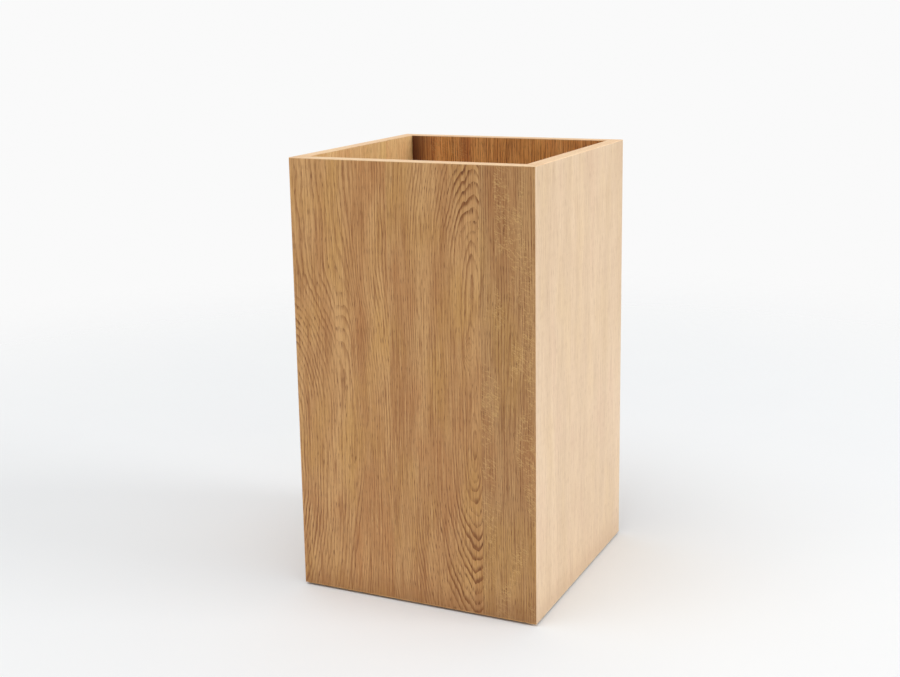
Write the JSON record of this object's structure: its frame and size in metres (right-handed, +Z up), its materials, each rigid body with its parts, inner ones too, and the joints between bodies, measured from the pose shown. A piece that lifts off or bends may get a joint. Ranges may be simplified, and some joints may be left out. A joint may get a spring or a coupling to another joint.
{
  "type": "litter bin",
  "caption": "Tall open-topped square litter bin of mitred oak-veneered board on low glides, with a lift-out sheet steel liner.",
  "frame": {"origin": "middle of the footprint, on the floor under the glides", "axes": "+Z up, -Y towards the front wall, +X towards the right wall"},
  "size_m": [0.35, 0.35, 0.605],
  "materials": {
    "oak": "matt lacquer",
    "oak_inside": "matt lacquer",
    "oak_band": "matt lacquer",
    "fibreboard": "raw board",
    "beech": "raw pressed beech",
    "pine": "planed, raw",
    "nylon": "moulded",
    "zinc_plate": "bright zinc plate",
    "galvanised_steel": "hot-dip galvanised, small spangle"
  },
  "bodies": {
    "box": {"front_core": "fibreboard", "right_core": "fibreboard", "back_core": "fibreboard", "left_core": "fibreboard", "front_outer_veneer": "oak", "right_outer_veneer": "oak", "back_outer_veneer": "oak", "left_outer_veneer": "oak", "front_inner_veneer": "oak_inside", "right_inner_veneer": "oak_inside", "back_inner_veneer": "oak_inside", "left_inner_veneer": "oak_inside", "front_rim_band": "oak_band", "right_rim_band": "oak_band", "back_rim_band": "oak_band", "left_rim_band": "oak_band", "front_foot_band": "oak_band", "right_foot_band": "oak_band", "back_foot_band": "oak_band", "left_foot_band": "oak_band", "front_left_biscuits": "beech", "front_right_biscuits": "beech", "back_right_biscuits": "beech", "back_left_biscuits": "beech", "bottom_panel": "oak_inside", "front_left_block": "pine", "front_right_block": "pine", "back_right_block": "pine", "back_left_block": "pine", "block_screws": "zinc_plate", "front_left_glide": "nylon", "front_right_glide": "nylon", "back_right_glide": "nylon", "back_left_glide": "nylon", "glide_screws": "zinc_plate"},
    "liner": {"liner_walls": "galvanised_steel", "liner_pan": "galvanised_steel"}
  },
  "joints": [
    {"name": "liner_lift", "type": "slide", "parent": "box", "child": "liner", "axis": [0, 0, 1], "range_m": [0, 0.575]}
  ]
}
